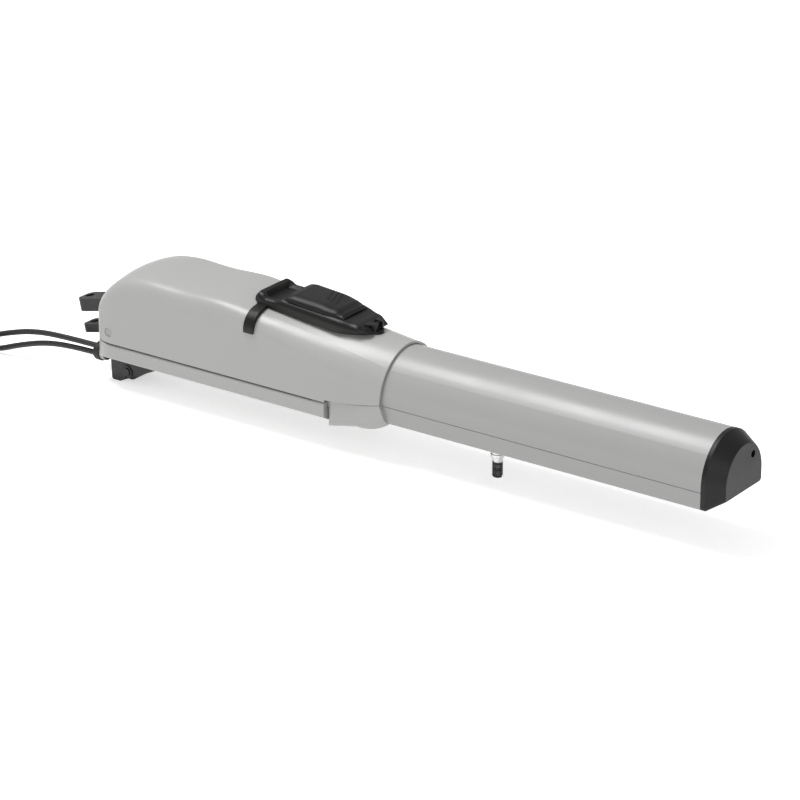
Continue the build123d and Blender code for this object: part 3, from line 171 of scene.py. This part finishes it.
# %% Shared grain group
def build_grain():
    """Fine grain and slow mottling: gives a colour, a roughness and a height."""
    group = bpy.data.node_groups.new("surface grain", "ShaderNodeTree")
    face = group.interface
    for label, kind, value in (("Base", "NodeSocketColor", (0.5, 0.5, 0.5, 1)),
                               ("Roughness", "NodeSocketFloat", 0.5),
                               ("Grain size", "NodeSocketFloat", 900.0),
                               ("Grain", "NodeSocketFloat", 0.3),
                               ("Mottle", "NodeSocketFloat", 0.05),
                               ("Dust", "NodeSocketFloat", 0.0)):
        face.new_socket(label, in_out="INPUT", socket_type=kind).default_value = value
    for label, kind in (("Color", "NodeSocketColor"), ("Roughness", "NodeSocketFloat"),
                        ("Height", "NodeSocketFloat")):
        face.new_socket(label, in_out="OUTPUT", socket_type=kind)
    nodes, link = group.nodes, group.links.new
    given, result = nodes.new("NodeGroupInput"), nodes.new("NodeGroupOutput")
    place = nodes.new("ShaderNodeTexCoord")
    fine, slow = nodes.new("ShaderNodeTexNoise"), nodes.new("ShaderNodeTexNoise")
    fine.inputs["Detail"].default_value = 3.0
    slow.inputs["Scale"].default_value = 14.0
    slow.inputs["Detail"].default_value = 4.0
    link(place.outputs["Object"], fine.inputs["Vector"])
    link(place.outputs["Object"], slow.inputs["Vector"])
    link(given.outputs["Grain size"], fine.inputs["Scale"])
    shift = nodes.new("ShaderNodeMath")
    shift.operation = "SUBTRACT"
    shift.inputs[1].default_value = 0.5
    link(slow.outputs["Fac"], shift.inputs[0])
    tone = nodes.new("ShaderNodeMath")
    tone.operation = "MULTIPLY_ADD"
    tone.inputs[2].default_value = 1.0
    link(shift.outputs[0], tone.inputs[0])
    link(given.outputs["Mottle"], tone.inputs[1])
    shade = nodes.new("ShaderNodeVectorMath")
    shade.operation = "SCALE"
    link(given.outputs["Base"], shade.inputs[0])
    link(tone.outputs[0], shade.inputs["Scale"])
    # Dust settles on faces that look up
    facing = nodes.new("ShaderNodeNewGeometry")
    split = nodes.new("ShaderNodeSeparateXYZ")
    link(facing.outputs["Normal"], split.inputs[0])
    upward = nodes.new("ShaderNodeMath")
    upward.operation = "MULTIPLY"
    upward.use_clamp = True
    link(split.outputs["Z"], upward.inputs[0])
    link(given.outputs["Dust"], upward.inputs[1])
    dusted = nodes.new("ShaderNodeMix")
    dusted.data_type = "RGBA"
    dusted.inputs["B"].default_value = (0.62, 0.61, 0.58, 1)
    link(upward.outputs[0], dusted.inputs["Factor"])
    link(shade.outputs[0], dusted.inputs["A"])
    link(dusted.outputs["Result"], result.inputs["Color"])
    rough = nodes.new("ShaderNodeMath")
    rough.operation = "MULTIPLY_ADD"
    rough.inputs[1].default_value = 0.25
    rough.use_clamp = True
    link(shift.outputs[0], rough.inputs[0])
    link(given.outputs["Roughness"], rough.inputs[2])
    link(rough.outputs[0], result.inputs["Roughness"])
    height = nodes.new("ShaderNodeMath")
    height.operation = "MULTIPLY"
    link(fine.outputs["Fac"], height.inputs[0])
    link(given.outputs["Grain"], height.inputs[1])
    link(height.outputs[0], result.inputs["Height"])
    return group


grain_group = build_grain()


def finish(name, base, roughness, metallic=0.0, grain_size=900.0, grain=0.3, mottle=0.05, dust=0.0,
           bump=0.0002, coat=0.0, specular=0.5):
    """A material: the shared grain feeds colour, roughness and bump of one Principled shader."""
    material = bpy.data.materials.new(name)
    material.use_nodes = True
    nodes, link = material.node_tree.nodes, material.node_tree.links.new
    shader = nodes["Principled BSDF"]
    shader.inputs["Metallic"].default_value = metallic
    shader.inputs["Coat Weight"].default_value = coat
    shader.inputs["Specular IOR Level"].default_value = specular
    pattern = nodes.new("ShaderNodeGroup")
    pattern.node_tree = grain_group
    for label, value in (("Base", (*base, 1)), ("Roughness", roughness), ("Grain size", grain_size),
                         ("Grain", grain), ("Mottle", mottle), ("Dust", dust)):
        pattern.inputs[label].default_value = value
    relief = nodes.new("ShaderNodeBump")
    relief.inputs["Distance"].default_value = bump
    link(pattern.outputs["Color"], shader.inputs["Base Color"])
    link(pattern.outputs["Roughness"], shader.inputs["Roughness"])
    link(pattern.outputs["Height"], relief.inputs["Height"])
    link(relief.outputs["Normal"], shader.inputs["Normal"])
    return material


# %% Finishes by material slot
finishes = {
    "casing_paint": finish("casing paint", (0.395, 0.395, 0.386), 0.34, grain_size=1400, mottle=0.04),
    "arm_paint": finish("arm paint", (0.36, 0.36, 0.356), 0.33, grain_size=1800, grain=0.2, mottle=0.03),
    "black_plastic": finish("black plastic", (0.0075, 0.007, 0.0066), 0.4, grain_size=2200, grain=0.5,
                             specular=0.3),
    "black_casting": finish("black casting", (0.011, 0.0105, 0.010), 0.46, grain_size=700, grain=0.9,
                            bump=0.0004),
    "black_rubber": finish("black rubber", (0.01, 0.01, 0.01), 0.62, grain_size=1600),
    "lead_rubber": finish("lead sheath", (0.012, 0.012, 0.013), 0.5, grain_size=1200, grain=0.2),
    "cast_aluminium": finish("cast aluminium", (0.52, 0.53, 0.54), 0.42, 1.0, grain_size=600, grain=0.6),
    "bearing_steel": finish("ground steel", (0.56, 0.57, 0.58), 0.26, 1.0, grain_size=1500, grain=0.15),
    "motor_steel": finish("coated steel", (0.05, 0.053, 0.057), 0.4, 0.3, grain_size=900),
    "winding_copper": finish("winding", (0.45, 0.16, 0.06), 0.4, 0.8, grain_size=500, grain=0.8),
    "gear_bronze": finish("bronze", (0.55, 0.36, 0.12), 0.34, 1.0, grain_size=900),
    "zinc_fastener": finish("bright zinc", (0.62, 0.63, 0.62), 0.28, 1.0, grain_size=900, mottle=0.12),
    "dark_fastener": finish("blackened steel", (0.09, 0.09, 0.095), 0.36, 1.0, grain_size=900, mottle=0.12),
    "white_nylon": finish("nylon", (0.72, 0.7, 0.65), 0.5, grain_size=700),
    "lock_chrome": finish("plated lock", (0.68, 0.69, 0.7), 0.16, 1.0, grain_size=900, grain=0.1),
}
for node, piece in frame["nodes"].items():
    for place in piece.material_slots:
        place.material = finishes[slot_of[node]]
# The hinge pin is blackened, and the screws in the cover are painted
for node, look in (("lever_pin", "black_casting"), ("cover_screws", "arm_paint")):
    for place in frame["nodes"][node].material_slots:
        place.material = finishes[look]
print("finishes", len(finishes))

# %% [markdown]
# ## Ends of the leads
# The leads of such an operator end in bare conductors that go to a terminal box. Three thin wires follow
# the curve of the coil's top turn for a short way.

# %% Stripped ends
conductor_radius, conductor_spacing = 0.8 * mm, 2.1 * mm
conductor_steps = range(0, 30, 5)


def wire(name, centre, start, way, radius, slot_name):
    """A thin wire that follows the coil's curve from the lead's end."""
    arc = [math.radians(start) + way * math.radians(step) for step in conductor_steps]
    curve = bpy.data.curves.new(name, "CURVE")
    curve.dimensions = "3D"
    spline = curve.splines.new("POLY")
    spline.points.add(len(arc) - 1)
    for place, angle in zip(spline.points, arc):
        place.co = (centre[0] + radius * math.cos(angle), centre[1] + radius * math.sin(angle),
                    layer_high - 0.0012, 1.0)
    curve.bevel_depth = conductor_radius
    curve.bevel_resolution = 3
    curve.use_fill_caps = True
    made = bpy.data.objects.new(name, curve)
    scene.collection.objects.link(made)
    mesh = bpy.data.meshes.new_from_object(made)
    bpy.data.objects.remove(made)
    made = bpy.data.objects.new(name, mesh)
    scene.collection.objects.link(made)
    made.data.materials.append(finishes[slot_name])
    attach(made, "casing")
    return made


def stripped_end(name, centre, start, way, turns):
    """Three conductors side by side at the end of a lead."""
    end = start + way * 360 * turns
    return [wire(f"{name}_wire_{count}", centre, end, way, coil_outer + (count - 1) * conductor_spacing,
                 ("winding_copper", "white_nylon", "black_plastic")[count]) for count in range(3)]


upper_end = stripped_end("upper", upper_centre, -90, -1, upper_turns)
lower_end = stripped_end("lower", lower_centre, 90, 1, lower_turns)
for lead, node, ends, points, length in (
        (upper_lead, ("cable_upper", "coil_upper"), upper_end, upper_points, upper_length),
        (lower_lead, ("cable_lower", "coil_lower"), lower_end, lower_points, lower_length)):
    lead.data.materials.append(finishes["lead_rubber"])
    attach(lead, "casing")
    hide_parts(*node)

# %% [markdown]
# ## Threaded stud
# The stud's thread is one long helix. A ridge swept along a spiral gives the real pitch, and the
# Geometry Nodes spiral keeps its size in named inputs.

# %% A helix that Geometry Nodes sweeps
def thread_tree():
    """Ridge swept along a spiral round Z, with a plain core inside it."""
    tree = bpy.data.node_groups.new("thread", "GeometryNodeTree")
    face = tree.interface
    for label, kind, value in (("Turns", "NodeSocketFloat", 10.0), ("Radius", "NodeSocketFloat", 0.005),
                               ("Length", "NodeSocketFloat", 0.02), ("Ridge", "NodeSocketFloat", 0.001),
                               ("Steps", "NodeSocketInt", 24), ("Finish", "NodeSocketMaterial", None)):
        socket = face.new_socket(label, in_out="INPUT", socket_type=kind)
        if value is not None:
            socket.default_value = value
    face.new_socket("Geometry", in_out="OUTPUT", socket_type="NodeSocketGeometry")
    nodes, link = tree.nodes, tree.links.new
    given, result = nodes.new("NodeGroupInput"), nodes.new("NodeGroupOutput")
    spiral = nodes.new("GeometryNodeCurveSpiral")
    link(given.outputs["Steps"], spiral.inputs["Resolution"])
    link(given.outputs["Turns"], spiral.inputs["Rotations"])
    link(given.outputs["Radius"], spiral.inputs["Start Radius"])
    link(given.outputs["Radius"], spiral.inputs["End Radius"])
    link(given.outputs["Length"], spiral.inputs["Height"])
    profile = nodes.new("GeometryNodeCurvePrimitiveCircle")
    profile.inputs["Resolution"].default_value = 4
    link(given.outputs["Ridge"], profile.inputs["Radius"])
    sweep = nodes.new("GeometryNodeCurveToMesh")
    sweep.inputs["Fill Caps"].default_value = True
    link(spiral.outputs["Curve"], sweep.inputs["Curve"])
    link(profile.outputs["Curve"], sweep.inputs["Profile Curve"])
    core = nodes.new("GeometryNodeMeshCylinder")
    core.inputs["Vertices"].default_value = 48
    link(given.outputs["Radius"], core.inputs["Radius"])
    link(given.outputs["Length"], core.inputs["Depth"])
    middle = nodes.new("ShaderNodeCombineXYZ")
    half = nodes.new("ShaderNodeMath")
    half.operation = "MULTIPLY"
    half.inputs[1].default_value = 0.5
    link(given.outputs["Length"], half.inputs[0])
    link(half.outputs[0], middle.inputs["Z"])
    move = nodes.new("GeometryNodeTransform")
    link(core.outputs["Mesh"], move.inputs["Geometry"])
    link(middle.outputs[0], move.inputs["Translation"])
    join = nodes.new("GeometryNodeJoinGeometry")
    link(move.outputs["Geometry"], join.inputs["Geometry"])
    link(sweep.outputs["Mesh"], join.inputs["Geometry"])
    real = nodes.new("GeometryNodeRealizeInstances")
    link(join.outputs["Geometry"], real.inputs["Geometry"])
    paint = nodes.new("GeometryNodeSetMaterial")
    link(real.outputs["Geometry"], paint.inputs["Geometry"])
    link(given.outputs["Finish"], paint.inputs["Material"])
    link(paint.outputs["Geometry"], result.inputs["Geometry"])
    return tree


def grow_mesh(name, tree, values, place=Matrix.Identity(4)):
    """Runs a tree with its inputs set, keeps the plain mesh and puts its place in the mesh."""
    holder = bpy.data.objects.new(name + "_holder", bpy.data.meshes.new(name + "_holder"))
    scene.collection.objects.link(holder)
    modifier = holder.modifiers.new("build", "NODES")
    modifier.node_group = tree
    for item in tree.interface.items_tree:
        if item.item_type == "SOCKET" and item.in_out == "INPUT" and item.name in values:
            modifier[item.identifier] = values[item.name]
    graph = bpy.context.evaluated_depsgraph_get()
    mesh = bpy.data.meshes.new_from_object(holder.evaluated_get(graph), preserve_all_data_layers=True,
                                           depsgraph=graph)
    bpy.data.objects.remove(holder)
    mesh.transform(place)
    made = bpy.data.objects.new(name, mesh)
    scene.collection.objects.link(made)
    print(name, len(mesh.polygons), "faces")
    return made


helix = thread_tree()


def lathe(name, profile, place, steps=64):
    """Turns (radius, height) pairs round Z into a closed smooth body."""
    points, faces = [], []
    for radius, height in profile:
        for step in range(steps):
            angle = 2 * math.pi * step / steps
            points.append((radius * math.cos(angle), radius * math.sin(angle), height))
    for ring in range(len(profile) - 1):
        for step in range(steps):
            beside = (step + 1) % steps
            faces.append((ring * steps + step, ring * steps + beside, (ring + 1) * steps + beside,
                          (ring + 1) * steps + step))
    faces.append(tuple(reversed(range(steps))))
    faces.append(tuple((len(profile) - 1) * steps + step for step in range(steps)))
    mesh = bpy.data.meshes.new(name)
    mesh.from_pydata(points, [], faces)
    mesh.shade_smooth()
    mesh.set_sharp_from_angle(angle=math.radians(30))
    mesh.transform(place)
    made = bpy.data.objects.new(name, mesh)
    scene.collection.objects.link(made)
    return made


def dress(made, body, slot_name, *nodes):
    """Gives a finished piece its material, its body and the nodes that it stands for."""
    made.data.materials.clear()
    made.data.materials.append(finishes[slot_name])
    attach(made, body)
    if nodes:
        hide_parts(*nodes)
    return made


# %% The stud below the arm
# The casing's own origin in the frame; heights below are from its datum
casing_x, casing_z = 37 * mm, -24 * mm
stud_x = casing_x + 521 * mm
stud_top, flange_top, flange_low = (casing_z + height * mm for height in (15, -12, -16))
thread_top, thread_low = casing_z - 20.5 * mm, casing_z - 40 * mm
stem, flange = 7 * mm, 7.8 * mm
crest, root, pitch = 6 * mm, 5.08 * mm, 1.75 * mm
edge, tip_chamfer, run_out = 0.4 * mm, 0.8 * mm, 0.6 * mm
stud = lathe("gate_stud", [
    (root - tip_chamfer, thread_low), (root, thread_low + tip_chamfer), (root, thread_top),
    (crest, thread_top + run_out), (crest, flange_low), (flange - edge, flange_low),
    (flange, flange_low + edge), (flange, flange_top - edge), (flange - edge, flange_top), (stem, flange_top),
    (stem, stud_top - edge), (stem - edge, stud_top)], Matrix.Translation((stud_x, 0, 0)))
ridge_start, ridge_margin = 1.4 * mm, 2.2 * mm
ridge_length = thread_top - thread_low - ridge_margin
ridge = grow_mesh("stud_thread", helix, {
    "Turns": ridge_length / pitch, "Radius": root, "Length": ridge_length, "Ridge": crest - root, "Steps": 28,
    "Finish": finishes["zinc_fastener"]}, Matrix.Translation((stud_x, 0, thread_low + ridge_start)))
dress(stud, "carriage", "zinc_fastener", "carriage_stud")
# Painted shade: the thread is one piece with the bright zinc stud, but it gets the dark steel of the
# blackened screws to stand in for the shade in its grooves
dress(ridge, "carriage", "dark_fastener")

# %% [markdown]
# ## Manual release
# The lever and the slide over its lock are smooth mouldings. Each is one height field: a function gives
# the height over the cover at every place. All sizes in these cells are millimetres along the hatch.

# %% Shapes of the release
hatch_x, hatch_z = 216, 103.18
hatch_fall = 0.0864
hatch_place = Matrix.Translation((casing_x + hatch_x * mm, 0, casing_z + hatch_z * mm)) @ Matrix.Rotation(
    math.asin(hatch_fall), 4, "Y")
lever_start, lever_end, lever_rim = 2.5, 149.2, 3.4
slide_start, slide_end, slide_rim = 40.0, 118.0, 12.3
well_side, well_blend = 18.5, 4.5
groove_first, groove_step, groove_depth, groove_half = 80.0, 6.2, 1.1, 1.5
groove_slant, groove_middle, groove_low, groove_high = 0.36, 5.5, -7, 17


def curve_at(keys, place):
    """Height on a line through (distance, height) pairs, eased between them."""
    if place <= keys[0][0]:
        return keys[0][1]
    for (start, low), (end, high) in zip(keys, keys[1:]):
        if place <= end:
            share = (place - start) / (end - start)
            share = share * share * (3 - 2 * share)
            return low + (high - low) * share
    return keys[-1][1]


def shell(name, span, half_at, top_at, low_at, rows=150, columns=60):
    """Closed moulding between a height field and its lower edge, in millimetres along the hatch."""
    points, faces = [], []
    for row in range(rows + 1):
        h = span[0] + (span[1] - span[0]) * row / rows
        half = half_at(h)
        line = [(h, half * math.sin(math.pi * (column / columns - 0.5))) for column in range(columns + 1)]
        points += [(h, y, top_at(h, y, half)) for h, y in line]
        points += [(h, y, low_at(h)) for h, y in reversed(line)]
    around = 2 * (columns + 1)
    for row in range(rows):
        for step in range(around):
            beside = (step + 1) % around
            faces.append((row * around + step, (row + 1) * around + step, (row + 1) * around + beside,
                          row * around + beside))
    faces.append(tuple(range(around)))
    faces.append(tuple(rows * around + step for step in reversed(range(around))))
    mesh = bpy.data.meshes.new(name)
    mesh.from_pydata([(x * mm, y * mm, z * mm) for x, y, z in points], [], faces)
    mesh.shade_smooth()
    mesh.set_sharp_from_angle(angle=math.radians(38))
    mesh.transform(hatch_place)
    made = bpy.data.objects.new(name, mesh)
    scene.collection.objects.link(made)
    return made


def soften(y, half, edge):
    """1 inside, falling to 0 at the side along a quarter round of the given width."""
    inside = max(0.0, min(1.0, (half - abs(y)) / edge))
    return math.sqrt(max(0.0, 1 - (1 - inside) ** 2))


def lever_half(h):
    """Half the lever's width."""
    return curve_at([(lever_start, 27.5), (8, 29.6), (112, 29.6), (135, 25.5), (147, 19.5),
                     (lever_end, 17.0)], h)


def lever_top(h, y, half):
    """Top of the lever: the finger well lies between two rims."""
    rim = curve_at([(lever_start, 8.5), (6, 12), (10, 11.2), (18, 7.6), (27, 8.2), (38, 11.9), (112, 11.9),
                    (132, 10.2), (143, 8.2), (lever_end, 5.0)], h)
    floor = curve_at([(lever_start, 8.5), (6, 12), (10, 11.2), (13.5, 4.6), (34, 5.0), (37, 11.9),
                      (112, 12.0), (132, 10.6), (143, 8.6), (lever_end, 5.2)], h)
    side = max(0.0, min(1.0, (abs(y) - well_side) / well_blend))
    side = side * side * (3 - 2 * side)
    height = floor + (rim - floor) * side
    return lever_rim + (height - lever_rim) * soften(y, half, 7.0)


def lever_low(h):
    """Underside of the lever: a skirt in the frame's well that ends before the hinge."""
    return curve_at([(lever_start, 0.6), (10, -2.0), (112, -2.0), (126, 3.35), (lever_end, 3.35)], h)


def slide_half(h):
    """Half the slide's width."""
    return curve_at([(slide_start, 25.5), (46, 27.0), (90, 26.4), (slide_end, 22.5)], h)


def slide_top(h, y, half):
    """Top of the slide: a crowned back with three slanted grooves for the thumb."""
    crown = curve_at([(slide_start, 14.0), (43.5, 18.0), (50, 19.2), (84, 19.8), (104, 18.4), (114, 15.6),
                      (slide_end, 13.4)], h)
    height = 12.4 + (crown - 12.4) * soften(y, half, 11.0) + 0.5 * (1 - (y / half) ** 2)
    for groove in range(3):
        middle = groove_first + groove_step * groove - groove_slant * (y - groove_middle)
        if groove_low < y < groove_high:
            height -= groove_depth * max(0.0, 1 - ((h - middle) / groove_half) ** 2)
    return height


def slide_low(h):
    """Flat underside of the slide, just over the lever."""
    return slide_rim


lever = shell("lever_moulding", (lever_start, lever_end), lever_half, lever_top, lever_low)
dress(lever, "release_lever", "black_plastic", "release_lever")
slide = shell("key_slide", (slide_start, slide_end), slide_half, slide_top, slide_low, 240, 72)
dress(slide, "key_cover", "black_plastic", "key_cover")

# %% [markdown]
# ## Studio
# A pale floor at the bench's height, a white world and two large soft lamps. The photograph's light is
# even: the top of the arm is a little brighter than its sides, and the shadow is faint. The floor gives
# off some light of its own to the camera and to mirrors only, so it looks white and its shadow soft,
# while the object's own light stays as it is.

# %% Floor and lamps
floor_half = 12.0
floor_glow = 0.55
corners = ((-1, -1), (1, -1), (1, 1), (-1, 1))
floor_mesh = bpy.data.meshes.new("floor")
floor_mesh.from_pydata([(floor_half * x, floor_half * y, bench) for x, y in corners], [], [(0, 1, 2, 3)])
floor = bpy.data.objects.new("floor", floor_mesh)
scene.collection.objects.link(floor)
floor_material = bpy.data.materials.new("pale floor")
floor_material.use_nodes = True
floor_nodes, floor_link = floor_material.node_tree.nodes, floor_material.node_tree.links.new
floor_shader = floor_nodes["Principled BSDF"]
floor_shader.inputs["Base Color"].default_value = (0.9, 0.9, 0.9, 1)
floor_shader.inputs["Roughness"].default_value = 0.9
floor_shader.inputs["Specular IOR Level"].default_value = 0.1
floor_shader.inputs["Emission Color"].default_value = (1, 1, 1, 1)
ray = floor_nodes.new("ShaderNodeLightPath")
seen = ray.outputs["Is Camera Ray"]
for kind in ("Is Glossy Ray", "Is Transmission Ray"):
    either = floor_nodes.new("ShaderNodeMath")
    either.operation = "MAXIMUM"
    floor_link(seen, either.inputs[0])
    floor_link(ray.outputs[kind], either.inputs[1])
    seen = either.outputs[0]
glow = floor_nodes.new("ShaderNodeMath")
glow.operation = "MULTIPLY"
glow.inputs[1].default_value = floor_glow
floor_link(seen, glow.inputs[0])
floor_link(glow.outputs[0], floor_shader.inputs["Emission Strength"])
floor_mesh.materials.append(floor_material)

world = bpy.data.worlds.new("studio")
scene.world = world
world.use_nodes = True
sky = world.node_tree.nodes["Background"]
sky.inputs["Color"].default_value = (1, 1, 1, 1)
sky.inputs["Strength"].default_value = 0.5


def soft_lamp(name, place, target, size, power):
    data = bpy.data.lights.new(name, "AREA")
    data.shape = "DISK"
    data.size = size
    data.energy = power
    lamp = bpy.data.objects.new(name, data)
    scene.collection.objects.link(lamp)
    lamp.location = place
    lamp.rotation_euler = (Vector(place) - Vector(target)).to_track_quat("Z", "Y").to_euler()
    return lamp


soft_lamp("key", (-0.7, -0.5, 2.8), aim, 1.6, 70)
soft_lamp("fill", (2.4, -2.2, 1.4), aim, 1.8, 14)
